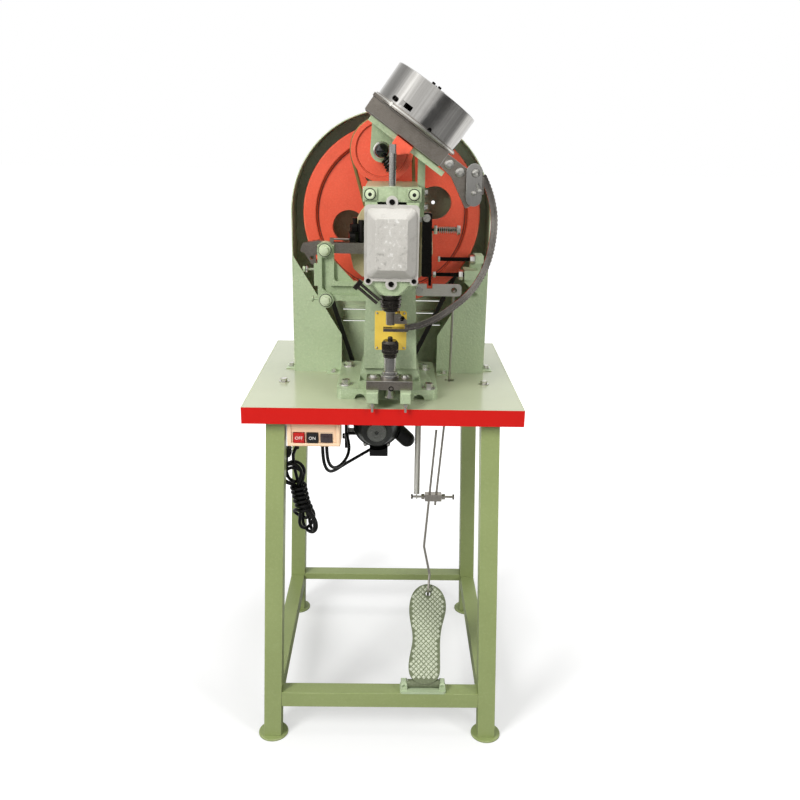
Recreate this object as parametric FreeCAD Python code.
import FreeCAD, Part
import math
import os

# Stand-mounted automatic eyelet machine, in millimetres.
# +Z is up, the operator stands at -Y, and the origin is on the floor under the centre of the stand.

V = FreeCAD.Vector

# --- driving dimensions: stand and table ---
TABLE_SIZE = 560.0
TABLE_TOP = 780.0
BOARD_THICK = 18.0
BAND_HEIGHT = 34.0
BAND_THICK = 3.0
BOARD_BOTTOM = TABLE_TOP - BOARD_THICK
FRAME_BAR_THICK = 14.0
LEG_TUBE = 38.0
TUBE_WALL = 2.0
LEG_TOP_X = 216.0
LEG_TOP_Y = 238.0
LEG_FOOT_X = 240.0
LEG_FOOT_Y = 262.0
LEG_TOP_Z = BOARD_BOTTOM - FRAME_BAR_THICK
FOOT_RADIUS = 33.0
FOOT_THICK = 5.0
RAIL_Z = 80.0
RAIL_TUBE = 36.0
REAR_RAIL = (102.0, 120.0)
ROD_HOLE = (144.0, -69.0)
ROD_HOLE_RADIUS = 11.0
BELT_SLOT_X = 100.0
BELT_SLOT_WIDTH = 36.0
TABLE_BOLT_X = 217.0
TABLE_BOLT_Y = -98.0

# --- driving dimensions: machine axis, shaft and ram ---
AXIS_X = 12.0
SHAFT_Z = 1128.0
RAM_Y = -250.0
SHAFT_RADIUS = 14.0
RUN_FIT = 0.05
CRANK_THROW = 9.0
CRANK_PIN_RADIUS = 7.0
RAM_ROD_RADIUS = 6.5
SPINDLE_RADIUS = 12.0
RAM_STROKE = 18.0

# --- driving dimensions: casting ---
HEAD_HALF = 50.0
HEAD_FRONT = -268.0
HEAD_BACK = -55.0
HEAD_BOTTOM = 1022.0
HEAD_TOP = 1203.0
CAP_BOTTOM = 1176.0
COLUMN_FRONT = -215.0
BASE_THICK = 21.0
BASE_FRONT = -217.0
COVER_HALF = 51.0
COVER_BOTTOM = 1031.0
COVER_TOP = 1172.0

# --- driving dimensions: flywheel, belts and guard ---
FLYWHEEL_RADIUS = 192.0
FLYWHEEL_FRONT = 10.0
FLYWHEEL_BACK = 58.0
V_BELT_Y = 38.0
V_BELT_DEPTH = 9.0
MOTOR_X = -15.0
MOTOR_Z = 672.0
MOTOR_RADIUS = 53.0
MOTOR_BODY_FRONT = -66.0
MOTOR_LUG_ANGLES = (60.0, 120.0, 240.0, 300.0)
MOTOR_LUG_RADIUS = 5.0
MOTOR_PULLEY_RADIUS = 24.0
HUB_PULLEY_RADIUS = 50.0
ROUND_BELT_Y = -26.0
ROUND_BELT_RADIUS = 3.5
HOPPER_PULLEY = (-10.0, 1264.0)
HOPPER_PULLEY_RADIUS = 65.0
GUARD_RADIUS = 214.5
GUARD_AXIS = (10.5, 1132.0)
GUARD_FRONT = -12.0
GUARD_BACK = 78.0
SHEET = 2.5

# --- driving dimensions: hopper ---
HOPPER_TILT = 35.5
HOPPER_CENTRE = (75.0, -165.0, 1345.0)
DRUM_RADIUS = 88.0
DRUM_LOW = -33.0
DRUM_HIGH = 34.0
BASE_LOW = -74.0
SEAT_HIGH = BASE_LOW
SEAT_LOW = -84.0
PULLEY_SHAFT_RADIUS = 7.0

# --- driving dimensions: trip gear and pedal ---
TRIP_Y = -80.0
LEVER_PIVOT = (72.0, 982.0)
LEVER_HOOK_X = 146.0
PEDAL_X = 108.0
PEDAL_PIVOT = (-259.0, 131.0)
PEDAL_ANGLE = 45.0
PEDAL_LENGTH = 220.0
PEDAL_HOLE = 198.0


# --- small geometry helpers ---
def box(x0, x1, y0, y1, z0, z1):
    return Part.makeBox(x1 - x0, y1 - y0, z1 - z0, V(x0, y0, z0))


def cyl_x(x0, x1, y, z, r):
    return Part.makeCylinder(r, x1 - x0, V(x0, y, z), V(1, 0, 0))


def cyl_y(y0, y1, x, z, r):
    return Part.makeCylinder(r, y1 - y0, V(x, y0, z), V(0, 1, 0))


def cyl_z(z0, z1, x, y, r):
    return Part.makeCylinder(r, z1 - z0, V(x, y, z0), V(0, 0, 1))


def fuse(shapes):
    result = shapes[0]
    for shape in shapes[1:]:
        result = result.fuse(shape)
    return result.removeSplitter()


def cut(shape, tools):
    for tool in tools:
        shape = shape.cut(tool)
    return shape


def round_corner(a, b, c, radius):
    """Tangent points and mid point of the arc that rounds corner b."""
    to_a = (a - b).normalize()
    to_c = (c - b).normalize()
    half = to_a.getAngle(to_c) / 2.0
    reach = radius / math.tan(half)
    start = b + to_a * reach
    end = b + to_c * reach
    bisector = (to_a + to_c).normalize()
    centre = b + bisector * (radius / math.sin(half))
    middle = centre - bisector * radius
    return start, middle, end


def rounded_wire(points, radii):
    """Closed wire through the points with each corner rounded; radius 0 keeps it sharp."""
    count = len(points)
    marks = []
    for i, point in enumerate(points):
        if radii[i] > 0:
            marks.append(round_corner(points[i - 1], point, points[(i + 1) % count], radii[i]))
        else:
            marks.append((point, None, point))
    edges = []
    for i in range(count):
        start, middle, end = marks[i]
        if middle is not None:
            edges.append(Part.Arc(start, middle, end).toShape())
        following = marks[(i + 1) % count][0]
        if end.distanceToPoint(following) > 1e-6:
            edges.append(Part.LineSegment(end, following).toShape())
    return Part.Wire(Part.__sortEdges__(edges))


def plate_xz(points, y0, y1, radius=0.0):
    """Plate with an outline in X and Z, between y0 and y1."""
    corners = [V(x, y0, z) for x, z in points]
    radii = radius if isinstance(radius, list) else [radius] * len(corners)
    return Part.Face(rounded_wire(corners, radii)).extrude(V(0, y1 - y0, 0))


def plate_xy(points, z0, z1, radius=0.0):
    """Plate with an outline in X and Y, between z0 and z1."""
    corners = [V(x, y, z0) for x, y in points]
    radii = radius if isinstance(radius, list) else [radius] * len(corners)
    return Part.Face(rounded_wire(corners, radii)).extrude(V(0, 0, z1 - z0))


def plate_yz(points, x0, x1, radius=0.0):
    """Plate with an outline in Y and Z, between x0 and x1."""
    corners = [V(x0, y, z) for y, z in points]
    radii = radius if isinstance(radius, list) else [radius] * len(corners)
    return Part.Face(rounded_wire(corners, radii)).extrude(V(x1 - x0, 0, 0))


def rectangle(u0, u1, v0, v1):
    return [(u0, v0), (u1, v0), (u1, v1), (u0, v1)]


def slot_xz(xa, za, xb, zb, r, y0, y1):
    """Round-ended plate between two centres in the XZ plane."""
    along = V(xb - xa, 0, zb - za)
    length = along.Length
    bar = Part.makeBox(length, y1 - y0, 2 * r, V(0, y0, -r))
    angle = -math.degrees(math.atan2(zb - za, xb - xa))
    bar.rotate(V(0, 0, 0), V(0, 1, 0), angle)
    bar.translate(V(xa, 0, za))
    return fuse([bar, cyl_y(y0, y1, xa, za, r), cyl_y(y0, y1, xb, zb, r)])


def hexagon(across, height, centre, axis):
    """Hexagonal prism from centre along axis."""
    radius = across / math.sqrt(3.0)
    corners = []
    for i in range(6):
        angle = math.radians(60 * i)
        corners.append(V(radius * math.cos(angle), radius * math.sin(angle), 0))
    corners.append(corners[0])
    prism = Part.Face(Part.makePolygon(corners)).extrude(V(0, 0, height))
    prism.Placement = FreeCAD.Placement(centre, FreeCAD.Rotation(V(0, 0, 1), axis))
    return prism


def revolve_y(profile, x, z):
    """Solid of revolution about the Y direction through (x, z); profile pairs are (radius, y)."""
    corners = [V(x + r, y, z) for r, y in profile]
    corners.append(corners[0])
    face = Part.Face(Part.makePolygon(corners))
    return face.revolve(V(x, 0, z), V(0, 1, 0), 360)


def revolve_z(profile, x, y):
    """Solid of revolution about the Z direction through (x, y); profile pairs are (radius, z)."""
    corners = [V(x + r, y, z) for r, z in profile]
    corners.append(corners[0])
    face = Part.Face(Part.makePolygon(corners))
    return face.revolve(V(x, y, 0), V(0, 0, 1), 360)


def tangent_loop(xa, za, ra, xb, zb, rb, y):
    """Open-belt path round two pulleys in the plane y: two arcs and two tangent lines."""
    along = V(xb - xa, 0, zb - za)
    span = along.Length
    base = math.atan2(along.z, along.x)
    lean = math.acos((ra - rb) / span)

    def rim(x, z, r, angle):
        return V(x + r * math.cos(angle), y, z + r * math.sin(angle))

    a1 = rim(xa, za, ra, base + lean)
    a2 = rim(xa, za, ra, base - lean)
    b1 = rim(xb, zb, rb, base + lean)
    b2 = rim(xb, zb, rb, base - lean)
    a_far = rim(xa, za, ra, base + math.pi)
    b_far = rim(xb, zb, rb, base)
    edges = [
        Part.Arc(a1, a_far, a2).toShape(),
        Part.LineSegment(a2, b2).toShape(),
        Part.Arc(b2, b_far, b1).toShape(),
        Part.LineSegment(b1, a1).toShape(),
    ]
    return Part.Wire(edges), a2, b2


def sweep(path, profile):
    shell = Part.BRepOffsetAPI.MakePipeShell(path)
    shell.setFrenetMode(True)
    shell.add(profile)
    shell.build()
    shell.makeSolid()
    return shell.shape()


def corner_tube(points, radii, r):
    """Round rod or cord along straight runs joined by tangent arcs."""
    edges = []
    last = points[0]
    for i in range(1, len(points) - 1):
        start, middle, end = round_corner(points[i - 1], points[i], points[i + 1], radii[i - 1])
        edges.append(Part.LineSegment(last, start).toShape())
        edges.append(Part.Arc(start, middle, end).toShape())
        last = end
    edges.append(Part.LineSegment(last, points[-1]).toShape())
    path = Part.Wire(edges)
    ring = Part.Wire([Part.Circle(points[0], points[1] - points[0], r).toShape()])
    return path.makePipeShell([ring], True, True)


# --- stand ---
def leg(side_x, side_y, half):
    def ring(z, cx, cy):
        corners = []
        for dx, dy in ((-half, -half), (half, -half), (half, half), (-half, half)):
            corners.append(V(cx + dx, cy + dy, z))
        corners.append(corners[0])
        return Part.makePolygon(corners)

    low = ring(FOOT_THICK, side_x * LEG_FOOT_X, side_y * LEG_FOOT_Y)
    high = ring(LEG_TOP_Z, side_x * LEG_TOP_X, side_y * LEG_TOP_Y)
    return Part.makeLoft([low, high], True, True)


SIDES = ((-1, -1), (1, -1), (1, 1), (-1, 1))


def stand_legs():
    legs = []
    for sx, sy in SIDES:
        legs.append(leg(sx, sy, LEG_TUBE / 2).cut(leg(sx, sy, LEG_TUBE / 2 - TUBE_WALL)))
    return Part.makeCompound(legs)


def leg_centre(z):
    part = (z - FOOT_THICK) / (LEG_TOP_Z - FOOT_THICK)
    x = LEG_FOOT_X + (LEG_TOP_X - LEG_FOOT_X) * part
    y = LEG_FOOT_Y + (LEG_TOP_Y - LEG_FOOT_Y) * part
    return x, y


def tube_box(x0, x1, y0, y1, z0, z1, inset):
    """Square tube along the axis whose inset is zero."""
    dx, dy, dz = inset
    return box(x0, x1, y0, y1, z0, z1).cut(box(x0 + dx, x1 - dx, y0 + dy, y1 - dy, z0 + dz, z1 - dz))


def stand_rails():
    """Lower rails between the legs, the rear one of flat tube, and the bars under the board."""
    half = RAIL_TUBE / 2
    cx, cy = leg_centre(RAIL_Z + half)
    z0, z1 = RAIL_Z, RAIL_Z + RAIL_TUBE
    solids = [leg(sx, sy, LEG_TUBE / 2) for sx, sy in SIDES]
    wall = TUBE_WALL
    rails = []
    for side in (-1, 1):
        low, high = (z0, z1) if side < 0 else REAR_RAIL
        across = tube_box(-cx, cx, side * cy - half, side * cy + half, low, high, (0, wall, wall))
        along = tube_box(side * cx - half, side * cx + half, -cy, cy, z0, z1, (wall, 0, wall))
        rails.append(cut(across, solids))
        rails.append(cut(along, solids))
    return Part.makeCompound(rails + top_bars())


def top_bars():
    """Flat bars under the board that join the leg tops."""
    half = LEG_TUBE / 2 + 1
    x0, x1 = LEG_TOP_X - half, LEG_TOP_X + half
    y0, y1 = LEG_TOP_Y - half, LEG_TOP_Y + half
    z0, z1 = LEG_TOP_Z, BOARD_BOTTOM
    bars = [box(-x1, x1, -y1, -y0, z0, z1), box(-x1, x1, y0, y1, z0, z1)]
    bars += [box(-x1, -x0, -y0, y0, z0, z1), box(x0, x1, -y0, y0, z0, z1)]
    return bars


def foot_discs():
    bevel = 1.0
    discs = []
    for sx, sy in SIDES:
        profile = [(0, 0), (FOOT_RADIUS - bevel, 0), (FOOT_RADIUS, bevel)]
        profile += [(FOOT_RADIUS, FOOT_THICK - bevel), (FOOT_RADIUS - bevel, FOOT_THICK), (0, FOOT_THICK)]
        discs.append(revolve_z(profile, sx * LEG_FOOT_X, sy * LEG_FOOT_Y))
    return Part.makeCompound(discs)


def tabletop():
    half = TABLE_SIZE / 2 - BAND_THICK
    board = box(-half, half, -half, half, BOARD_BOTTOM, TABLE_TOP)
    y0, y1 = V_BELT_Y - BELT_SLOT_WIDTH / 2, V_BELT_Y + BELT_SLOT_WIDTH / 2
    slot = plate_xy(rectangle(-BELT_SLOT_X, BELT_SLOT_X, y0, y1), BOARD_BOTTOM, TABLE_TOP, 8.0)
    holes = [slot, cyl_z(BOARD_BOTTOM, TABLE_TOP, ROD_HOLE[0], ROD_HOLE[1], ROD_HOLE_RADIUS)]
    for x in (-TABLE_BOLT_X, TABLE_BOLT_X):
        holes.append(cyl_z(BOARD_BOTTOM, TABLE_TOP, x, TABLE_BOLT_Y, 5.0))
    return cut(board, holes)


def table_edge_band():
    """Four mitred strips round the board."""
    out = TABLE_SIZE / 2
    inn = out - BAND_THICK
    z0 = TABLE_TOP - BAND_HEIGHT
    strip = plate_xy([(-out, -out), (out, -out), (inn, -inn), (-inn, -inn)], z0, TABLE_TOP)
    strips = []
    for turn in range(4):
        copy = strip.copy()
        copy.rotate(V(0, 0, 0), V(0, 0, 1), 90 * turn)
        strips.append(copy)
    return Part.makeCompound(strips)


def hex_bolt(x, y, z, axis, across, height, washer, shank):
    """Hexagon bolt on a washer; shank is (radius, length) behind the seating face."""
    seat = V(x, y, z)
    parts = [Part.makeCylinder(washer, 2.0, seat, axis)]
    parts.append(hexagon(across, height, seat + axis * 2.0, axis))
    if shank:
        parts.append(Part.makeCylinder(shank[0], shank[1] + 1.0, seat + axis, axis * -1))
    return fuse(parts)


def hex_bolts():
    """All hexagon bolts, and the studs under the arms of the casting."""
    up, right, front = V(0, 0, 1), V(1, 0, 0), V(0, -1, 0)
    bolts = []
    for x in (-TABLE_BOLT_X, TABLE_BOLT_X):
        bolts.append(hex_bolt(x, TABLE_BOLT_Y, TABLE_TOP, up, 13.0, 6.0, 11.0, (4.0, BOARD_THICK)))
    for x, y in FLANGE_BOLTS:
        bolts.append(hex_bolt(x, y, TABLE_TOP + BASE_THICK, up, 16.0, 9.0, 12.0, (5.0, BASE_THICK)))
    for x, y in guard_feet():
        bolts.append(hex_bolt(x, y, TABLE_TOP + SHEET, up, 10.0, 5.0, 8.0, None))
    for z in (1158, 1188):
        bolts.append(hex_bolt(76, -134, z, right, 13.0, 5.0, 9.0, None))
    bolts.append(hex_bolt(FEED_LOW[0], FEED_FRONT - 8, FEED_LOW[1], front, 15.0, 5.0, 10.0, None))
    for a, b in ARM_SPAN:
        x, y = (a + b) / 2, ARM_FRONT + 4.6
        stud = cyl_z(STUD_LOW, ARM_LOW, x, y, 2.6)
        bolts.append(stud.fuse(hexagon(7.6, 5.0, V(x, y, ARM_LOW - 5.0), up)))
    return Part.makeCompound(bolts)


# --- casting ---
FLANGE_BOLTS = ((-78.0, -184.0), (-78.0, -38.0), (92.0, -203.0), (89.0, -56.0))
ARM_SPAN = ((-33.0, -10.0), (33.0, 54.0))
ARM_LOW = 794.0
ARM_HIGH = 818.0
ARM_FRONT = -294.5
STUD_LOW = 777.0
STEP_HIGH = 845.0
CAVITY_HALF = 27.0
CAVITY_BACK = -222.0
CAVITY_LOW = 1044.0
CAVITY_HIGH = 1176.0
WEB_FRONT = -226.0


def column_outline():
    """Front outline of the column: it flares at the foot and tapers upwards."""
    widths = ((66.0, TABLE_TOP), (62.0, 822.0), (53.5, 846.0), (48.5, 1003.0), (HEAD_HALF, HEAD_BOTTOM))
    left = [(AXIS_X - w, z) for w, z in widths]
    right = [(AXIS_X + w, z) for w, z in reversed(widths)]
    return left + right


def head_nose():
    """Round nose under the head, flattened at the front, that guides the ram spindle."""
    nose = revolve_z([(0, 1003), (23, 1003), (29, 1010), (38, 1023), (0, 1023)], AXIS_X, RAM_Y + 2)
    return nose.common(box(AXIS_X - 38, AXIS_X + 38, HEAD_FRONT, RAM_Y + 40, 1003, 1023))


def frame_casting():
    base = plate_xy(rectangle(-96, 110, BASE_FRONT, 5), TABLE_TOP, TABLE_TOP + BASE_THICK, 12.0)
    column = plate_xz(column_outline(), COLUMN_FRONT, HEAD_BACK)
    head = box(AXIS_X - HEAD_HALF, AXIS_X + HEAD_HALF, HEAD_FRONT, HEAD_BACK, HEAD_BOTTOM, HEAD_TOP)
    web_line = [(WEB_FRONT, 1004), (COLUMN_FRONT, 990), (COLUMN_FRONT, 1023), (WEB_FRONT, 1023)]
    web = plate_yz(web_line, AXIS_X - 16, AXIS_X + 16)
    arms = [box(a, b, ARM_FRONT, COLUMN_FRONT + 14, ARM_LOW, ARM_HIGH) for a, b in ARM_SPAN]
    arms = [arm.makeFillet(4.0, [e for e in arm.Edges if e.BoundBox.YMax < ARM_FRONT + 1]) for arm in arms]
    shape = fuse([base, column, head, head_nose(), web] + arms)
    holes = [
        box(AXIS_X - 60, AXIS_X + 60, COLUMN_FRONT, COLUMN_FRONT + 9, ARM_HIGH, STEP_HIGH),
        box(AXIS_X - 20, AXIS_X + 20, COLUMN_FRONT, COLUMN_FRONT + 12, ARM_LOW, 820),
        box(AXIS_X - CAVITY_HALF, AXIS_X + CAVITY_HALF, HEAD_FRONT, CAVITY_BACK, CAVITY_LOW, CAVITY_HIGH),
        box(AXIS_X - HEAD_HALF, AXIS_X + HEAD_HALF, HEAD_FRONT, RAM_Y, CAP_BOTTOM, HEAD_TOP),
        cyl_y(CAVITY_BACK - 1, HEAD_BACK, AXIS_X, SHAFT_Z, SHAFT_RADIUS + RUN_FIT),
        cyl_z(CAVITY_HIGH - 1, HEAD_TOP, AXIS_X, RAM_Y, RAM_ROD_RADIUS + RUN_FIT),
        cyl_z(1000, CAVITY_LOW + 1, AXIS_X, RAM_Y, SPINDLE_RADIUS + RUN_FIT),
        box(AXIS_X - 38, AXIS_X + 38, -200, 5, TABLE_TOP, TABLE_TOP + 8),
    ]
    for side in (-1, 1):
        holes.append(cyl_y(BASE_FRONT - 1, -200, AXIS_X + side * 60, TABLE_TOP, 11.0))
    for x, y in FLANGE_BOLTS:
        holes.append(cyl_z(TABLE_TOP, TABLE_TOP + BASE_THICK, x, y, 6.0))
    return cut(shape, holes)


def head_cap():
    """Split cap in front of the ram rod, with a raised bearing boss and two square screw pads."""
    ears = box(AXIS_X - 54, AXIS_X + 54, HEAD_FRONT + 4, RAM_Y - 0.3, CAP_BOTTOM + 0.3, HEAD_TOP)
    pads = [box(x, x + 25, HEAD_FRONT, HEAD_FRONT + 5, 1180, 1200) for x in (AXIS_X - 53, AXIS_X + 28)]
    r = RAM_Y - HEAD_FRONT
    boss = cyl_z(CAP_BOTTOM + 3, HEAD_TOP + 1, AXIS_X, RAM_Y, r)
    half = box(AXIS_X - r, AXIS_X + r, RAM_Y - r, RAM_Y - 0.3, CAP_BOTTOM + 3, HEAD_TOP + 1)
    cap = fuse([ears, boss.common(half)] + pads)
    return cap.cut(cyl_z(CAP_BOTTOM, HEAD_TOP + 2, AXIS_X, RAM_Y, RAM_ROD_RADIUS + RUN_FIT))


def cover_rect(half, z0, z1, y, radius):
    corners = [V(x, y, z) for x, z in rectangle(AXIS_X - half, AXIS_X + half, z0, z1)]
    return rounded_wire(corners, [radius] * 4)


COVER_EARS = ((AXIS_X, COVER_TOP + 5.0, 11.0), (AXIS_X, COVER_BOTTOM - 5.0, 11.0))
COVER_CORNERS = ((AXIS_X - 43.0, COVER_BOTTOM + 1.0, 8.0), (AXIS_X + 43.0, COVER_BOTTOM + 1.0, 8.0))


def gear_cover():
    """Cast cover: rim, bevelled pan and flat plateau, hollow behind, with screw ears."""
    y0 = HEAD_FRONT
    rim = Part.Face(cover_rect(COVER_HALF, COVER_BOTTOM, COVER_TOP, y0, 9.0)).extrude(V(0, -6, 0))
    outer = [
        cover_rect(46.0, COVER_BOTTOM + 6, COVER_TOP - 6, y0 - 6, 9.0),
        cover_rect(44.0, COVER_BOTTOM + 9, COVER_TOP - 9, y0 - 12, 9.0),
    ]
    wall = Part.makeLoft(outer, True, True)
    plateau = cover_rect(29.0, COVER_BOTTOM + 24, COVER_TOP - 24, y0 - 26, 6.0)
    bevel = Part.makeLoft([outer[1], plateau], True, True)
    inner = Part.makeLoft(
        [
            cover_rect(38.0, COVER_BOTTOM + 14, COVER_TOP - 14, y0, 7.0),
            cover_rect(37.0, COVER_BOTTOM + 15, COVER_TOP - 15, y0 - 11, 7.0),
            cover_rect(27.0, COVER_BOTTOM + 27, COVER_TOP - 27, y0 - 21, 5.0),
        ],
        True,
        True,
    )
    ears = [cyl_y(y0 - 6, y0, x, z, r) for x, z, r in COVER_EARS + COVER_CORNERS]
    shape = fuse([rim, wall, bevel] + ears).cut(inner)
    return cut(shape, [cyl_y(y0 - 7, y0, x, z, 2.6) for x, z, r in COVER_EARS + COVER_CORNERS])


def crankshaft():
    """Shaft with an overhung crank disc and its pin at the front end."""
    shaft = cyl_y(CAVITY_BACK - 2, FLYWHEEL_BACK + 6, AXIS_X, SHAFT_Z, SHAFT_RADIUS)
    disc = cyl_y(CAVITY_BACK - 12, CAVITY_BACK - 2, AXIS_X, SHAFT_Z, 22.0)
    pin = cyl_y(RAM_Y - 12, CAVITY_BACK - 12, AXIS_X, SHAFT_Z + CRANK_THROW, CRANK_PIN_RADIUS)
    return fuse([shaft, disc, pin])


def ram():
    """Top rod, cross-slotted yoke for the crank pin, and the lower spindle."""
    sweep_half = CRANK_THROW + CRANK_PIN_RADIUS + 1
    low = SHAFT_Z - sweep_half
    high = SHAFT_Z + sweep_half + RAM_STROKE
    yoke = box(AXIS_X - 24, AXIS_X + 24, RAM_Y - 11, RAM_Y + 11, low - 9, high + 9)
    window = box(AXIS_X - sweep_half, AXIS_X + sweep_half, RAM_Y - 12, RAM_Y + 12, low, high)
    rod = cyl_z(high, 1278, AXIS_X, RAM_Y, RAM_ROD_RADIUS)
    spindle = cyl_z(969, low, AXIS_X, RAM_Y, SPINDLE_RADIUS)
    rod_end = box(AXIS_X - 10, AXIS_X + 10, RAM_Y - 10, RAM_Y - 5, 1262, 1279)
    return fuse([yoke, rod, spindle]).cut(window).cut(rod_end)


def ram_collar():
    bore = SPINDLE_RADIUS
    ring = revolve_z([(bore, 971), (17, 971), (21, 977), (21, 1001), (bore, 1001)], AXIS_X, RAM_Y)
    return ring.cut(cyl_y(RAM_Y - 22, RAM_Y - SPINDLE_RADIUS, AXIS_X, 986, 4.0))


def punch_holder():
    body = revolve_z([(0, 943), (8, 943), (9, 946), (9, 969), (0, 969)], AXIS_X, RAM_Y)
    outline = [(AXIS_X, 946), (44, 946), (44, 951), (30, 964), (AXIS_X, 964)]
    clamp = plate_xz(outline, RAM_Y - 6, RAM_Y + 6)
    screw = cyl_y(RAM_Y - 9, RAM_Y - 6, 30, 956, 3.2)
    point = revolve_z([(0, 941.5), (1.6, 941.5), (3, 943), (3, 944), (0, 944)], AXIS_X, RAM_Y)
    return fuse([body, clamp, screw, point])


def oil_pins():
    """Two parallel pins in the side of the nose, joined by a small block at their outer end."""
    a = V(-47, RAM_Y - 14, 1020)
    b = V(4, RAM_Y - 14, 977)
    way = (b - a).normalize()
    side = V(-way.z, 0, way.x)
    reach = 46.0
    first = Part.makeCylinder(3.0, reach, a + side * 4.0, way)
    second = Part.makeCylinder(3.0, reach, a - side * 4.0, way)
    cap = Part.makeBox(20, 12, 9, V(-10, -6, -9))
    cap.Placement = FreeCAD.Placement(a, FreeCAD.Rotation(V(0, 0, 1), way))
    return fuse([first, second, cap]).cut(head_nose()).cut(frame_envelope())


# --- die side ---
def die_bar():
    bar = box(AXIS_X - 46, AXIS_X + 45, -277, -225, ARM_HIGH, ARM_HIGH + 18)
    bar = bar.makeFillet(3.0, [e for e in bar.Edges if abs(e.tangentAt(e.FirstParameter).z) > 0.9])
    return cut(bar, [cyl_z(ARM_HIGH, ARM_HIGH + 18, AXIS_X, RAM_Y, 10.0)])


def die_post():
    """Turned post: stub below the bar, stepped flange on it and a plain post above."""
    top = ARM_HIGH + 18
    profile = [(0, ARM_LOW), (9, ARM_LOW), (9.95, ARM_LOW + 2), (9.95, top), (19, top), (19, top + 7)]
    profile += [(15.5, top + 8), (15.5, top + 14), (12, top + 15), (12, 878), (0, 878)]
    return revolve_z(profile, AXIS_X, RAM_Y)


def die_collar():
    """Knurled collar that screws on the post and holds the die with its rounded nose."""
    profile = [(0, 878), (12.5, 878), (12.5, 882), (14, 885), (16.5, 888), (16.5, 908), (13, 912), (5, 912)]
    profile += [(5, 917), (4, 919), (1.5, 918), (0, 918)]
    return revolve_z(profile, AXIS_X, RAM_Y)


# --- drive ---
def flywheel():
    """Turned wheel: rim with a V-groove, dished web with four round holes, long hub."""
    r = FLYWHEEL_RADIUS
    f, b = FLYWHEEL_FRONT, FLYWHEEL_BACK
    groove = r - V_BELT_DEPTH - 2.5
    bore = SHAFT_RADIUS + RUN_FIT
    profile = [
        (bore, f - 10), (34, f - 10), (34, f + 10), (160, f + 10), (164, f + 6), (164, f + 2),
        (167, f), (r - 2, f), (r, f + 2), (r, V_BELT_Y - 8),
        (groove, V_BELT_Y - 4.5), (groove, V_BELT_Y + 4.5), (r, V_BELT_Y + 8),
        (r, b - 2), (r - 2, b), (164, b), (160, f + 22), (34, f + 22), (34, b + 4), (bore, b + 4),
    ]
    wheel = revolve_y(profile, AXIS_X, SHAFT_Z)
    holes = []
    for i in range(4):
        angle = math.radians(16 + 90 * i)
        x = AXIS_X + 97 * math.cos(angle)
        z = SHAFT_Z + 97 * math.sin(angle)
        holes.append(cyl_y(f, b, x, z, 35.0))
    return cut(wheel, holes)


def groove_ring(centre_x, centre_z, radius, bore, hub):
    """Sheave for a round belt, with a half-round groove cut by a torus."""
    r = radius
    y0, y1 = ROUND_BELT_Y - 7, ROUND_BELT_Y + 7
    profile = [(bore, hub[0]), (18, hub[0]), (18, y0 + 4), (r - 12, y0 + 4), (r - 10, y0), (r, y0)]
    profile += [(r, y1), (r - 10, y1), (r - 12, y1 - 4), (18, y1 - 4), (18, hub[1]), (bore, hub[1])]
    ring = revolve_y(profile, centre_x, centre_z)
    torus = Part.makeTorus(r - 1, ROUND_BELT_RADIUS + 0.4, V(centre_x, ROUND_BELT_Y, centre_z), V(0, 1, 0))
    return ring.cut(torus)


def hub_pulley():
    hub = (-35, FLYWHEEL_FRONT - 10)
    return groove_ring(AXIS_X, SHAFT_Z, HUB_PULLEY_RADIUS, SHAFT_RADIUS + RUN_FIT, hub)


def hopper_pulley():
    x, z = HOPPER_PULLEY
    wheel = groove_ring(x, z, HOPPER_PULLEY_RADIUS, 6.0, (-42, -18))
    return wheel.fuse(cyl_y(-92, -18, x, z, 7.0)).removeSplitter()


def hopper_knob():
    x, z = HOPPER_PULLEY
    ball = Part.makeSphere(14.5, V(x, -94, z))
    return ball.cut(cyl_y(-92, -70, x, z, 7.0))


def round_belt():
    path, start, end = tangent_loop(
        HOPPER_PULLEY[0], HOPPER_PULLEY[1], HOPPER_PULLEY_RADIUS - 1,
        AXIS_X, SHAFT_Z, HUB_PULLEY_RADIUS - 1, ROUND_BELT_Y,
    )
    ring = Part.Wire([Part.Circle(start, end - start, ROUND_BELT_RADIUS).toShape()])
    return sweep(path, ring)


def v_belt():
    """V-belt round the flywheel and the motor pulley, of trapezoid section."""
    depth = V_BELT_DEPTH
    path, start, end = tangent_loop(
        AXIS_X, SHAFT_Z, FLYWHEEL_RADIUS - 1, MOTOR_X, MOTOR_Z, MOTOR_PULLEY_RADIUS - 1, V_BELT_Y,
    )
    along = (end - start).normalize()
    inward = V(0, 1, 0).cross(along)
    if (V(AXIS_X, V_BELT_Y, SHAFT_Z) - start).dot(inward) < 0:
        inward = inward * -1
    out = V(0, 1, 0)
    corners = [start + out * 6.0, start + inward * depth + out * 3.6]
    corners += [start + inward * depth - out * 3.6, start - out * 6.0]
    corners.append(corners[0])
    return sweep(path, Part.makePolygon(corners))


def motor_pulley():
    r = MOTOR_PULLEY_RADIUS
    floor = r - V_BELT_DEPTH - 2.5
    y0, y1 = V_BELT_Y - 11, V_BELT_Y + 11
    profile = [(0, 6), (7, 6), (7, y0), (r, y0), (r, V_BELT_Y - 8), (floor, V_BELT_Y - 4.5)]
    profile += [(floor, V_BELT_Y + 4.5), (r, V_BELT_Y + 8), (r, y1), (9, y1), (9, y1 + 4), (0, y1 + 4)]
    return revolve_y(profile, MOTOR_X, MOTOR_Z)


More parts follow.
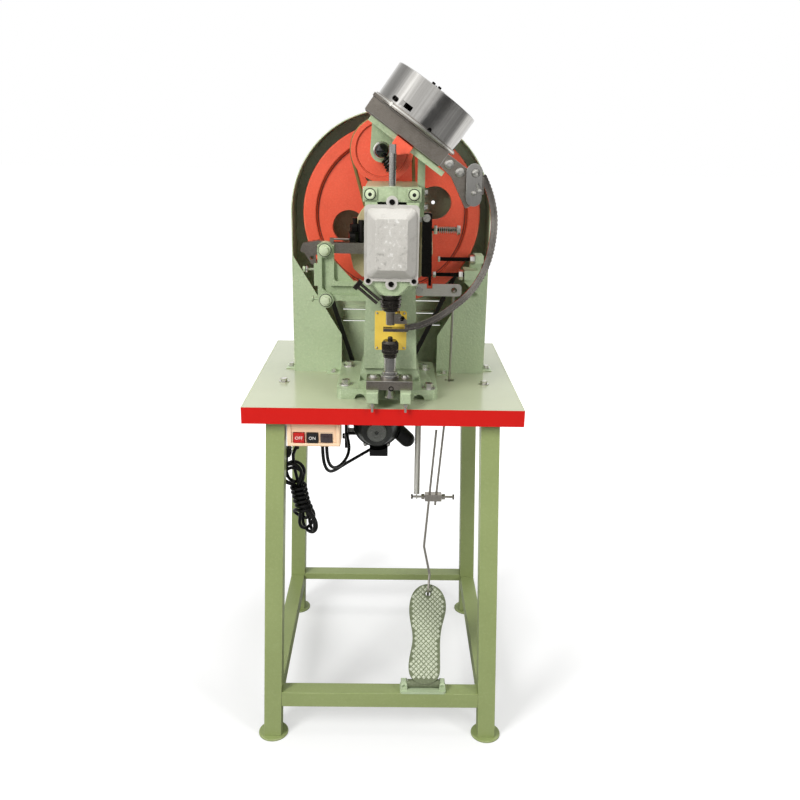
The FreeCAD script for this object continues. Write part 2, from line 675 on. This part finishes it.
def motor():
    """Stator body with a coned front shield, a domed bearing cap and four tie-bolt ribs."""
    r = MOTOR_RADIUS
    f = MOTOR_BODY_FRONT
    profile = [(0, -120), (4, -120), (4, -118), (8, -118), (9, -119), (20, -117), (21, -112)]
    profile += [(24, -110), (34, -107), (39, -98), (46, f - 8), (r - 4, f - 2), (r, f), (r, -20)]
    profile += [(r - 4, -18), (r - 4, -8), (r - 14, 0), (16, 0), (16, 6), (0, 6)]
    return fuse([revolve_y(profile, MOTOR_X, MOTOR_Z)] + motor_lugs(MOTOR_LUG_RADIUS))


def motor_lugs(radius):
    """The four tie-bolt ribs round the stator."""
    lugs = []
    for degrees in MOTOR_LUG_ANGLES:
        angle = math.radians(degrees)
        x = MOTOR_X + (MOTOR_RADIUS - 2) * math.cos(angle)
        z = MOTOR_Z + (MOTOR_RADIUS - 2) * math.sin(angle)
        lugs.append(cyl_y(MOTOR_BODY_FRONT - 5, -14, x, z, radius))
    return lugs


def motor_envelope():
    """Room for the motor: its body and ribs, with the ribs a little free."""
    body = cyl_y(-112, 0, MOTOR_X, MOTOR_Z, MOTOR_RADIUS)
    return fuse([body] + motor_lugs(MOTOR_LUG_RADIUS + 0.3))


def terminal_box():
    block = box(-31, 10, -88, -40, 604, 650)
    block = block.makeFillet(3.0, [e for e in block.Edges if e.BoundBox.ZMax < 615])
    return block.cut(motor_envelope())


def capacitor():
    start = V(24, -62, 665)
    tip = V(53, -62, 637)
    way = (tip - start).normalize()
    can = Part.makeCylinder(17.5, (tip - start).Length, start, way)
    end = Part.makeSphere(17.5, tip)
    return can.fuse(end).cut(motor_envelope())


def motor_bracket():
    """Hanger plate under the board with two arms that clamp the motor body."""
    plate = box(-86, -79, -100, -20, 628, BOARD_BOTTOM - 8)
    foot = box(-110, -40, -100, -20, BOARD_BOTTOM - 8, BOARD_BOTTOM)
    arms = [box(-80, MOTOR_X - 20, -64, -40, z, z + 9) for z in (646, 694)]
    bolts = [hexagon(12.0, 7.0, V(-93, -60, z), V(1, 0, 0)) for z in (642, 676)]
    return fuse([fuse([plate, foot] + arms).cut(motor_envelope())] + bolts)


# --- guard ---
def guard_outline(radius, low):
    """U-shaped outline: two vertical sides under a half circle."""
    cx, cz = GUARD_AXIS
    left, right = V(cx - radius, 0, low), V(cx + radius, 0, low)
    spring_left, spring_right = V(cx - radius, 0, cz), V(cx + radius, 0, cz)
    crown = V(cx, 0, cz + radius)
    edges = [
        Part.LineSegment(left, spring_left).toShape(),
        Part.Arc(spring_left, crown, spring_right).toShape(),
        Part.LineSegment(spring_right, right).toShape(),
        Part.LineSegment(right, left).toShape(),
    ]
    return Part.Face(Part.Wire(edges))


def guard_shell():
    """Bent sheet arch with a small front hem and outward foot tabs."""
    depth = V(0, GUARD_BACK - GUARD_FRONT, 0)
    outer = guard_outline(GUARD_RADIUS, TABLE_TOP).extrude(depth)
    inner = guard_outline(GUARD_RADIUS - SHEET, TABLE_TOP - 1).extrude(depth)
    arch = outer.cut(inner)
    arch.translate(V(0, GUARD_FRONT, 0))
    cx = GUARD_AXIS[0]
    tabs = []
    for side in (-1, 1):
        x = cx + side * (GUARD_RADIUS + 10)
        tabs.append(box(x - 11, x + 11, 6, 46, TABLE_TOP, TABLE_TOP + SHEET))
    return fuse([arch] + tabs)


GUARD_SLITS = ((-98.0, -30.0, 909.0), (-98.0, -30.0, 882.0), (46.0, 128.0, 931.0), (46.0, 128.0, 902.0),
               (46.0, 128.0, 874.0))


def guard_back():
    """Flat back panel inside the arch, with pressed ventilation slits."""
    panel = guard_outline(GUARD_RADIUS - SHEET, TABLE_TOP).extrude(V(0, SHEET, 0))
    panel.translate(V(0, GUARD_BACK - SHEET - 2, 0))
    holes = []
    for x0, x1, z in GUARD_SLITS:
        holes.append(box(x0, x1, GUARD_BACK - 10, GUARD_BACK + 1, z - 3, z + 3))
    holes.append(cyl_y(GUARD_BACK - 10, GUARD_BACK + 1, 104, 1152, 4.0))
    return cut(panel, holes)


def guard_feet():
    cx = GUARD_AXIS[0]
    places = []
    for side in (-1, 1):
        places.append((cx + side * (GUARD_RADIUS + 10), 26.0))
        places.append((cx + side * 124.0, GUARD_FRONT - 11))
    return places


def guard_plate(side):
    """Front side plate with a slanted inner edge and a foot tab bent forward."""
    cx = GUARD_AXIS[0]
    edge = cx + side * (GUARD_RADIUS - SHEET)
    inner = cx + side * 107.0
    outline = [(edge, TABLE_TOP), (inner, TABLE_TOP), (inner, 866), (edge, 1040)]
    plate = plate_xz(outline, GUARD_FRONT, GUARD_FRONT + SHEET)
    tab_mid = cx + side * 124.0
    tab = box(tab_mid - 16, tab_mid + 16, GUARD_FRONT - 22, GUARD_FRONT, TABLE_TOP, TABLE_TOP + SHEET)
    return fuse([plate, tab])


def stop_bracket():
    """Upright with two square bosses that carry the stop screws."""
    back = GUARD_FRONT
    block = box(168, 198, -68, back, 1002, 1022)
    upright = plate_xz([(172, 990), (208, 960), (208, 1052), (190, 1052)], back - 14, back)
    ear = box(190, 208, -66, back - 5, 1037, 1053)
    shape = fuse([block, upright, ear])
    return cut(shape, [cyl_x(160, 200, -60, 1045, 3.5), cyl_x(160, 169, -60, 1012, 3.5)])


def guard_plates():
    right = fuse([guard_plate(1), stop_bracket()])
    return Part.makeCompound([guard_plate(-1), right])


def bearing_flange():
    """Cast bearing flange bolted to the back of the column, with a round boss."""
    widths = ((30.0, 1000.0), (62.0, 1004.0), (80.0, 1020.0), (88.0, 1055.0), (86.0, 1100.0), (66.0, 1140.0))
    left = [(AXIS_X - w, z) for w, z in widths]
    right = [(AXIS_X + w, z) for w, z in reversed(widths)]
    outline = left + [(AXIS_X - 40, 1172.0), (AXIS_X + 40, 1172.0)] + right
    plate = plate_xz(outline, HEAD_BACK, HEAD_BACK + 8, 8.0)
    boss = revolve_y([(0, HEAD_BACK + 7), (38, HEAD_BACK + 7), (32, -39), (0, -39)], AXIS_X, SHAFT_Z)
    shape = fuse([plate, boss])
    return shape.cut(cyl_y(HEAD_BACK - 1, -38, AXIS_X, SHAFT_Z, SHAFT_RADIUS + RUN_FIT))


# --- hopper: built flat around the drum axis, then tilted ---
def tilt(shape):
    shape = shape.copy()
    shape.rotate(V(0, 0, 0), V(0, 1, 0), HOPPER_TILT)
    shape.translate(V(*HOPPER_CENTRE))
    return shape


def hopper_drum():
    """Turned drum with a foot ring, open to the lid, and an outlet window at the front."""
    r = DRUM_RADIUS
    low, high = DRUM_LOW, DRUM_HIGH
    inner = r - 4
    profile = [(0, low), (r, low), (r, high - 1), (r - 1, high)]
    profile += [(inner, high), (inner, low + 5), (0, low + 5)]
    drum = revolve_z(profile, 0, 0)
    window = box(-56, -20, -r - 2, -r + 12, low + 5, low + 14)
    return tilt(drum.cut(window))


def hopper_lid():
    r = DRUM_RADIUS - 4.3
    high = DRUM_HIGH
    profile = [(0, high - 6), (r, high - 6), (r, high - 3), (20, high - 3), (18, high + 2), (0, high + 2)]
    lid = revolve_z(profile, 0, 0)
    screws = [cyl_z(high + 1, high + 7, x, y, 3.5) for x, y in ((-9, -8), (9, 6))]
    return tilt(fuse([lid] + screws))


def hopper_base():
    """Heavy base block under the drum with a raised seat ring and a chamfered foot edge."""
    block = box(-91, 81, -52, 52, -74, -39)
    block = block.makeChamfer(3.0, [e for e in block.Edges if e.BoundBox.ZMax < -70])
    seat = cyl_z(-41, DRUM_LOW, 0, 0, DRUM_RADIUS + 4)
    ledge = box(-93, 60, -56, 40, -44, -37)
    return tilt(fuse([block, seat, ledge]))


def outlet_plate():
    """Joint plate that carries the chute end, with a cranked tail."""
    outline = [(81, -70), (112, -74), (168, -104), (176, -90), (150, -58), (146, -44), (81, -44)]
    plate = plate_xz(outline, -52, -30, 2.0)
    rivets = [cyl_y(-56, -51, u, -57.5, 9.0) for u in (94.0, 119.0)]
    return tilt(fuse([plate] + rivets))


LINK_TOP = (167.0, 1229.0)
LINK_Y = -231.2


def link_plate():
    """Round-ended plate that hangs the chute from the outlet."""
    x, z = LINK_TOP
    plate = fuse([
        slot_xz(x - 2, z + 2, x - 2, z - 46, 15.0, LINK_Y, LINK_Y + 5),
        cyl_y(LINK_Y - 5, LINK_Y, x, z, 7.5),
    ])
    return plate


def hopper_bracket():
    """Green casting: sloped seat plate, web, round boss for the pulley shaft and a bolted post."""
    seat = tilt(box(-75, 96, -46, 111, SEAT_LOW, SEAT_HIGH))
    above = tilt(box(-200, 200, -160, 160, SEAT_LOW, 60))
    x, z = HOPPER_PULLEY
    boss = cyl_y(-66, -46, x, z, 24.0)
    web = plate_xz([(-30, 1322), (-34, 1264), (12, 1258), (30, 1300)], -66, -54)
    post = box(AXIS_X + HEAD_HALF, 76, -150, -118, 1140, 1270)
    gusset = plate_yz([(-118, 1180), (-118, 1300), (-60, 1300)], 64, 74)
    shape = fuse([seat, boss.cut(above), web.cut(above), post.cut(above), gusset.cut(above)])
    return shape.cut(cyl_y(-100, 0, x, z, PULLEY_SHAFT_RADIUS + RUN_FIT))


def hopper_block():
    """Red drive block under the front edge of the seat, with a sloped lower end."""
    outline = [(-15, BASE_LOW), (22, BASE_LOW), (22, -88), (6, -102), (-15, -91)]
    block = plate_xz(outline, -58, -46)
    return tilt(block.makeFillet(2.0, [e for e in block.Edges if e.BoundBox.YMax < -57.9]))


CHUTE_PATH = (
    (181, -222, 1224), (196, -221, 1192), (206, -222, 1150), (205, -225, 1103), (196, -228, 1061),
    (179, -232, 1025), (156, -237, 997), (127, -242, 974), (98, -246, 955), (67, -249, 943), (40, -250, 938),
)


def chute():
    """Curved channel: a grooved section swept along a space curve, with an open-ended tongue."""
    points = [V(*p) for p in CHUTE_PATH]
    curve = Part.BSplineCurve()
    curve.interpolate(points)
    path = Part.Wire([curve.toShape()])
    start = points[0]
    along = curve.tangent(curve.FirstParameter)[0]
    depth = V(0, 1, 0)
    width = depth.cross(along).normalize()
    profile = []
    for w, d in ((-6, 4), (-6, -4), (-2, -4), (-2, -1), (2, -1), (2, -4), (6, -4), (6, 4)):
        profile.append(start + width * w + depth * d)
    profile.append(profile[0])
    shell = Part.BRepOffsetAPI.MakePipeShell(path)
    shell.setBiNormalMode(V(0, 1, 0))
    shell.add(Part.makePolygon(profile))
    shell.build()
    shell.makeSolid()
    tongue = box(-2, 46, -260, -240, 931, 937)
    mouth = cyl_z(930, 938, AXIS_X, RAM_Y, 4.0)
    slot = box(-3, AXIS_X, RAM_Y - 4.0, RAM_Y + 4.0, 930, 938)
    tongue = cut(tongue, [mouth, slot])
    hanger = box(168, 184, LINK_Y + 5, -219, 1190, 1222)
    return fuse([shell.shape(), tongue, hanger])


# --- feed gear on the left ---
FEED_FRONT = -112.0
FEED_BACK = -96.0
FEED_HIGH = (-124.0, 1068.0)
FEED_LOW = (-123.0, 964.0)
FEED_PIN_RADIUS = 7.0


def feed_bracket():
    """L-shaped casting with raised ribs along its edges and two round bosses."""
    y0, y1 = FEED_FRONT, FEED_BACK
    flank = AXIS_X - 49.5
    outline = [(-140, 1076), (-140, 962), (flank, 962), (flank, 1002), (-106, 1002), (-106, 1076)]
    plate = plate_xz(outline, y0, y1, [0, 12, 0, 0, 8, 0])
    floor = [(-131, 1058), (-131, 988), (-114, 973), (-52, 973), (-52, 993), (-117, 993), (-117, 1058)]
    pocket = plate_xz(floor, y0, y0 + 9, 3.0)
    bosses = [cyl_y(y0 - 8, y1, x, z, 16.0) for x, z in (FEED_HIGH, FEED_LOW)]
    lug = box(-148, -139, y0 + 4, y0 + 12, 992, 1038)
    gusset = plate_xz([(-107, 1045), (-107, 1001), (-65, 1001)], y0 + 9, y1)
    pad = plate_yz(rectangle(y0 + 2, -70, 962, 1002), flank - 4, flank)
    screws = [cyl_x(-168, -139, -104, 1026, 2.5), cyl_x(-171, -166, -104, 1026, 6.0)]
    screws += [cyl_x(-152, -139, -104, 964, 3.0), cyl_x(-154, -150, -104, 964, 6.0)]
    shape = fuse([plate.cut(pocket), gusset, pad, lug] + bosses + screws)
    shape = shape.cut(plate_xz(column_outline(), COLUMN_FRONT, HEAD_BACK))
    return shape.cut(cyl_y(y0 - 9, y1 + 1, FEED_HIGH[0], FEED_HIGH[1], FEED_PIN_RADIUS + RUN_FIT))


def feed_rocker():
    """Rocker on the upper boss: pivot pin, blunt nose to the left and a bar running behind the head."""
    x, z = FEED_HIGH
    pin = cyl_y(FEED_FRONT - 11, -76, x, z, FEED_PIN_RADIUS)
    nose_line = [(-178, 1060), (-172, 1078), (-140, 1084), (-112, 1080), (-112, 1056), (-140, 1054)]
    nose = plate_xz(nose_line, -95, -76, 4.0)
    bar = box(-114, FOLLOWER_END, -95, -78, 1058, 1078)
    lip = box(-114, FOLLOWER_END, -95, -72, 1074, 1080)
    tail = plate_xz([(-170, 1060), (-146, 1060), (-144, 1034), (-154, 1034)], -92, -84, 2.0)
    tail = tail.cut(cyl_y(-100, -80, -153, 1048, 4.0))
    rod = fuse([cyl_x(-116, -76, -84, 1086, 2.6), box(-116, -108, -87, -81, 1079, 1089)])
    head = hexagon(13.0, 5.0, V(x, FEED_FRONT - 9, z), V(0, -1, 0))
    collar = cyl_y(FEED_FRONT - 11, FEED_FRONT - 8.3, x, z, 10.0)
    return fuse([pin, head, collar, nose, bar, lip, tail, rod])


FOLLOWER_END = -41.5


def follower_nuts():
    """Black follower stack on the bar: two nuts beside a round stud."""
    stack = [box(-76, -57, -92, -74, 1080, 1108), box(-73, -55, -90, -76, 1107, 1130)]
    stack += [cyl_z(1080, 1126, FOLLOWER_END - 8, -84, 8.0), box(-58, FOLLOWER_END - 6, -90, -78, 1088, 1118)]
    return fuse(stack)


# --- trip gear on the right ---
def trip_lever():
    """Flat lever with a notch for the latch pin and a hole for the pull rod."""
    px, pz = LEVER_PIVOT
    bar = plate_xz(rectangle(63, 162, pz - 13, pz + 13), TRIP_Y - 3, TRIP_Y + 3, [8, 8, 8, 8])
    notch = box(88, 100, TRIP_Y - 4, TRIP_Y + 4, pz + 3, pz + 14)
    holes = [cyl_y(TRIP_Y - 4, TRIP_Y + 4, LEVER_HOOK_X, pz, 6.0), notch]
    holes.append(cyl_y(TRIP_Y - 4, TRIP_Y + 10, px, pz, PIVOT_RADIUS + RUN_FIT))
    return cut(bar, holes)


LATCH_PIVOT = (84.0, 1132.0)
PIVOT_RADIUS = 5.0


def latch_arm():
    """Black upright arm: pivot eye above, round pin that rests in the lever notch below."""
    x, z = LATCH_PIVOT
    arm = plate_xz([(76, 1010), (98, 1010), (95, 1142), (75, 1142)], TRIP_Y - 4, TRIP_Y + 4, 4.0)
    foot = cyl_z(991.5, 1014, 94, TRIP_Y, 3.0)
    return fuse([arm, foot]).cut(cyl_y(TRIP_Y - 5, TRIP_Y + 5, x, z, PIVOT_RADIUS + RUN_FIT))


def pivot_pins():
    """Lugs on the side of the column and head with the pins of the lever and the latch."""
    pins = []
    for (x, z), half in ((LEVER_PIVOT, 3.0), (LATCH_PIVOT, 4.0)):
        lug = box(AXIS_X + 40, x + 9, TRIP_Y + half + 6.5, TRIP_Y + 24, z - 10, z + 10)
        pin = cyl_y(TRIP_Y - half - 3, TRIP_Y + 20, x, z, PIVOT_RADIUS)
        head = cyl_y(TRIP_Y - half - 4.5, TRIP_Y - half - 0.5, x, z, 8.0)
        spacer = cyl_y(TRIP_Y + half + 0.5, TRIP_Y + half + 7, x, z, 8.0)
        pins.append(fuse([lug, pin, head, spacer]).cut(frame_envelope()))
    return Part.makeCompound(pins)


def frame_envelope():
    column = plate_xz(column_outline(), COLUMN_FRONT, HEAD_BACK)
    x0, x1 = AXIS_X - HEAD_HALF, AXIS_X + HEAD_HALF
    return column.fuse(box(x0, x1, HEAD_FRONT, HEAD_BACK, HEAD_BOTTOM, HEAD_TOP))


def spring_bolt():
    """Latch spring on its bolt: nuts at the latch side, plain coil envelope and an end nut."""
    y, z = TRIP_Y, 1108.0
    bolt = cyl_x(88, 156, y, z, 3.0).cut(latch_arm())
    coil = []
    for i in range(11):
        coil.append(cyl_x(110 + 3.6 * i, 111.8 + 3.6 * i, y, z, 5.6))
    nuts = [hexagon(13.0, 6.0, V(100, y, z), V(1, 0, 0)), hexagon(14.0, 7.0, V(149, y, z), V(1, 0, 0))]
    return fuse([bolt] + coil + nuts)


def stop_screws():
    """Two long black screws with locknuts."""
    upper = [cyl_x(113, 196, -60, 1045, 3.5), cyl_x(111, 115, -60, 1045, 5.0)]
    upper.append(hexagon(14.0, 9.0, V(181, -60, 1045), V(1, 0, 0)))
    lower = [cyl_x(101, 168, -60, 1012, 3.5)]
    lower.append(hexagon(10.0, 6.0, V(101, -60, 1012), V(1, 0, 0)))
    lower.append(hexagon(16.0, 7.0, V(159, -60, 1012), V(1, 0, 0)))
    return Part.makeCompound([fuse(upper), fuse(lower)])


# --- pedal, rods and return spring ---
def pedal_place(shape):
    """From the flat pedal frame (X across, Y along the sole from the pivot) to its rest position."""
    shape = shape.copy()
    shape.rotate(V(0, 0, 0), V(1, 0, 0), PEDAL_ANGLE)
    shape.translate(V(PEDAL_X, PEDAL_PIVOT[0], PEDAL_PIVOT[1]))
    return shape


SOLE_OUTLINE = (
    (-8, -4), (12, 2), (22, 12), (25.5, 30), (26, 60), (27, 96), (32, 125), (39, 150), (41.5, 170),
    (38, 190), (26, 209), (0, 220), (-27, 209), (-39, 190), (-43.5, 165), (-41, 135), (-36, 96),
    (-42, 60), (-45, 35), (-40, 12), (-26, 0),
)
SOLE_LIFT = 4.0
SOLE_THICK = 8.0
PEDAL_EARS = ((46.0, 60.0), (131.5, 144.0))


def pedal():
    """Cast shoe-shaped sole with a pivot barrel under the heel, between the ears of its bracket."""
    curve = Part.BSplineCurve()
    curve.interpolate([V(x, y, 0) for x, y in SOLE_OUTLINE], True)
    sole = Part.Face(Part.Wire([curve.toShape()])).extrude(V(0, 0, SOLE_THICK))
    sole.translate(V(0, 0, SOLE_LIFT))
    x0, x1 = PEDAL_EARS[0][1] + 0.4 - PEDAL_X, PEDAL_EARS[1][0] - 0.4 - PEDAL_X
    barrel = cyl_x(x0, x1, 0, 0, 9.0)
    cheek = box(x0 + 16, x1 - 8, 0, 26, 0, SOLE_LIFT + 2)
    shape = fuse([sole, barrel, cheek])
    shape = shape.cut(cyl_x(x0 - 1, x1 + 1, 0, 0, 5.0 + RUN_FIT))
    return pedal_place(shape.cut(cyl_z(3, 13, 0, PEDAL_HOLE, 6.0)))


def pedal_bracket():
    """Foot plate on the front rail with two ears, their screw pits and the hinge pin."""
    top = RAIL_Z + RAIL_TUBE
    y, z = PEDAL_PIVOT
    x0, x1 = PEDAL_EARS[0][0], PEDAL_EARS[1][1]
    foot = plate_xy(rectangle(x0 - 2, x1 + 2, y - 19, y + 19), top, top + 5, 7.0)
    ears = []
    for a, b in PEDAL_EARS:
        ear = box(a, b, y - 12, y + 12, top + 4, z + 7)
        ear = ear.makeFillet(5.0, [e for e in ear.Edges if e.BoundBox.ZMin > z + 6.9])
        ears.append(ear.cut(cyl_y(y - 13, y - 9, (a + b) / 2, z, 4.0)))
    pin = cyl_x(x0 + 2, x1 - 2, y, z, 5.0)
    relief = cyl_x(PEDAL_EARS[0][1], PEDAL_EARS[1][0], y, z, 9.5)
    return fuse([foot.cut(relief), pin] + ears)


ROD_RADIUS = 2.6
UPPER_ROD = ((146, -92, 982), (146, -68, 982), (144, -69, 780), (120, -91, 488))


def upper_rod():
    points = [V(*p) for p in UPPER_ROD]
    return corner_tube(points, [7.0, 60.0], ROD_RADIUS)


def lower_rod():
    hook = pedal_hook()
    points = [V(118, -84, 668), V(97, -98, 386), V(111, -112, 322)]
    points += [V(hook.x, hook.y - 8.5, hook.z + 15), V(hook.x, hook.y + 8.5, hook.z - 15)]
    return corner_tube(points, [9.0, 9.0, 7.0], ROD_RADIUS)


def pull_rods():
    """Upper rod hooked in the lever, lower rod hooked in the pedal, side by side in one clamp."""
    return Part.makeCompound([upper_rod(), lower_rod()])


def pedal_hook():
    angle = math.radians(PEDAL_ANGLE)
    s = PEDAL_HOLE
    lift = 8.0
    y = PEDAL_PIVOT[0] + s * math.cos(angle) - lift * math.sin(angle)
    z = PEDAL_PIVOT[1] + s * math.sin(angle) + lift * math.cos(angle)
    return V(PEDAL_X, y, z)


CLAMP_AT = (-90.0, 508.0)


def rod_clamp():
    """Clamp block on both rods with a long screw and nuts each side."""
    y, z = CLAMP_AT
    right = V(1, 0, 0)
    block = box(96, 134, y - 9, y + 9, z - 8, z + 8)
    bars = [cyl_x(66, 97, y, z, 2.6), cyl_x(133, 162, y, z, 2.6)]
    heads = [cyl_x(64, 68, y, z, 5.5), cyl_x(159, 163, y, z, 6.0)]
    nuts = [hexagon(12.0, 7.0, V(88, y, z), right), hexagon(12.0, 7.0, V(135, y, z), right)]
    return cut(fuse([block] + bars + heads + nuts), [upper_rod(), lower_rod()])


SPRING_X = 77.0
SPRING_LOW = 514.0
SPRING_HIGH = BOARD_BOTTOM


def return_spring():
    """Envelope of the long extension spring between the board and the clamp screw."""
    y = CLAMP_AT[0]
    outer = cyl_z(SPRING_LOW, SPRING_HIGH, SPRING_X, y, 5.5)
    return outer.cut(cyl_z(SPRING_LOW, SPRING_HIGH, SPRING_X, y, 3.2))


# --- electrical parts ---
SWITCH_Y = -262.0


SWITCH_LOW = 692.0
SWITCH_WELLS = ((-181.0, -157.0), (-154.0, -130.0), (-127.0, -100.0))


def switch_box():
    """Moulded box with a sunken face, two button wells and a dark lamp window."""
    shell = box(-193, -86, SWITCH_Y, SWITCH_Y + 52, SWITCH_LOW, LEG_TOP_Z)
    shell = shell.makeFillet(4.0, [e for e in shell.Edges if e.BoundBox.YMax < SWITCH_Y + 1])
    recess = box(-185, -94, SWITCH_Y - 1, SWITCH_Y + 3, 700, 740)
    wells = [box(x0, x1, SWITCH_Y, SWITCH_Y + 16, 699, 722) for x0, x1 in SWITCH_WELLS]
    x0, x1 = SWITCH_WELLS[2]
    window = box(x0, x1, SWITCH_Y + 2, SWITCH_Y + 17, 699, 722)
    return cut(shell, [recess] + wells).fuse(window).removeSplitter()


def button(x0, x1):
    cap = box(x0 + 1, x1 - 1, SWITCH_Y - 1, SWITCH_Y + 11, 700, 721)
    return cap.makeFillet(2.0, [e for e in cap.Edges if e.BoundBox.YMax < SWITCH_Y])


def off_button():
    return button(SWITCH_WELLS[0][0], SWITCH_WELLS[0][1])


def on_button():
    return button(SWITCH_WELLS[1][0], SWITCH_WELLS[1][1])


CORD_RADIUS = 3.5
MOTOR_CORD = (
    (-124, -234, 692), (-124, -234, 660), (-119, -222, 628), (-108, -200, 611),
    (-86, -160, 612), (-58, -118, 614), (-31, -80, 617),
)
BRACKET_CORD = (
    (-115.5, -234, 692), (-115.5, -234, 664), (-111, -222, 636), (-100, -198, 619),
    (-84, -166, 620), (-74, -138, 633), (-76, -116, 650), (-82.5, -100, 662),
)
MAINS_CORD = ((-178, -216, 692), (-178, -216, 676), (-188, -206, 656), (-188, -206, 640))


def section_area():
    return math.pi * CORD_RADIUS ** 2


def cord(label, route):
    """Cord along straight runs joined by tangent arcs, each 0.45 of its shorter run from the corner."""
    points = [V(*p) for p in route]
    radii = []
    for i in range(1, len(points) - 1):
        before = points[i] - points[i - 1]
        after = points[i + 1] - points[i]
        half = before.getAngle(after) / 2.0
        radii.append(0.45 * min(before.Length, after.Length) / math.tan(half))
    print(label, "bend radii", [round(r, 1) for r in radii])
    tube = corner_tube(points, radii, CORD_RADIUS)
    length = 0.0
    for i in range(1, len(points)):
        length += (points[i] - points[i - 1]).Length
    for i, radius in enumerate(radii):
        half = (points[i + 1] - points[i]).getAngle(points[i + 2] - points[i + 1]) / 2.0
        length -= 2.0 * radius * (math.tan(half) - half)
    print(label, "length", round(length, 1), "tube volume / section", round(tube.Volume / section_area(), 1))
    return tube


def motor_cables():
    """The two leads, each trimmed flush where it enters the terminal box or the bracket."""
    motor_cord = cord("motor cord", MOTOR_CORD).cut(terminal_box())
    bracket_cord = cord("bracket cord", BRACKET_CORD).cut(motor_bracket())
    return Part.makeCompound([motor_cord, bracket_cord])


def mains_lead():
    return cord("mains lead", MAINS_CORD)


HANK = (
    (-193, 640, 21, 15), (-189, 622, 22, 16.5), (-185, 603, 20, 16), (-180, 588, 18, 16.5),
    (-172, 545, 17, 16.5), (-165, 528, 15, 15), (-158, 503, 13, 12), (-152, 478, 8, 8),
)
HANK_Y = -205.5


def mains_hank():
    """Outer shape of the folded and wound mains cord."""
    rings = []
    for x, z, across, deep in HANK:
        ellipse = Part.Ellipse(V(0, 0, 0), across, deep)
        ring = Part.Wire([ellipse.toShape()])
        ring.translate(V(x, HANK_Y, z))
        rings.append(ring)
    return Part.makeLoft(rings, True, True)


PLUG_X = -203.0


def mains_plug():
    """Moulded plug: tapered neck, waisted body and three flat pins."""
    sizes = ((640.0, 4.0, 4.0), (650.0, 8.0, 7.0), (656.0, 10.0, 9.0), (668.0, 10.0, 9.0))
    rings = []
    for z, half_x, half_y in sizes:
        x0, x1 = PLUG_X - half_x, PLUG_X + half_x
        corners = [V(x, y, z) for x, y in rectangle(x0, x1, HANK_Y - half_y, HANK_Y + half_y)]
        rings.append(rounded_wire(corners, [3.0] * 4))
    body = Part.makeLoft(rings, True, True)
    pins = [box(PLUG_X - 0.8, PLUG_X + 0.8, HANK_Y + 2, HANK_Y + 7, 667, 684)]
    for side in (-1, 1):
        x = PLUG_X + side * 5.5
        pins.append(box(x - 0.8, x + 0.8, HANK_Y - 6, HANK_Y - 1, 667, 684))
    return fuse([body] + pins)


NODES = {
    "stand_legs": stand_legs,
    "stand_rails": stand_rails,
    "foot_discs": foot_discs,
    "tabletop": tabletop,
    "table_edge_band": table_edge_band,
    "hex_bolts": hex_bolts,
    "frame_casting": frame_casting,
    "head_cap": head_cap,
    "gear_cover": gear_cover,
    "crankshaft": crankshaft,
    "ram": ram,
    "ram_collar": ram_collar,
    "punch_holder": punch_holder,
    "oil_pins": oil_pins,
    "die_bar": die_bar,
    "die_post": die_post,
    "die_collar": die_collar,
    "flywheel": flywheel,
    "hub_pulley": hub_pulley,
    "hopper_pulley": hopper_pulley,
    "hopper_knob": hopper_knob,
    "hopper_belt": round_belt,
    "v_belt": v_belt,
    "motor_pulley": motor_pulley,
    "motor": motor,
    "terminal_box": terminal_box,
    "capacitor": capacitor,
    "motor_bracket": motor_bracket,
    "guard_shell": guard_shell,
    "guard_back": guard_back,
    "guard_plates": guard_plates,
    "bearing_flange": bearing_flange,
    "hopper_drum": hopper_drum,
    "hopper_lid": hopper_lid,
    "hopper_base": hopper_base,
    "outlet_plate": outlet_plate,
    "link_plate": link_plate,
    "hopper_bracket": hopper_bracket,
    "hopper_block": hopper_block,
    "chute": chute,
    "feed_bracket": feed_bracket,
    "feed_rocker": feed_rocker,
    "follower_nuts": follower_nuts,
    "trip_lever": trip_lever,
    "latch_arm": latch_arm,
    "pivot_pins": pivot_pins,
    "spring_bolt": spring_bolt,
    "stop_screws": stop_screws,
    "pedal": pedal,
    "pedal_bracket": pedal_bracket,
    "pull_rods": pull_rods,
    "rod_clamp": rod_clamp,
    "return_spring": return_spring,
    "switch_box": switch_box,
    "off_button": off_button,
    "on_button": on_button,
    "motor_cables": motor_cables,
    "mains_lead": mains_lead,
    "mains_hank": mains_hank,
    "mains_plug": mains_plug,
}

os.makedirs("parts", exist_ok=True)
for name, make in NODES.items():
    shape = make()
    shape.exportStep("parts/" + name + ".step")
    print(name, len(shape.Solids), "solids", round(shape.Volume / 1000.0, 1), "cm3", shape.isValid())
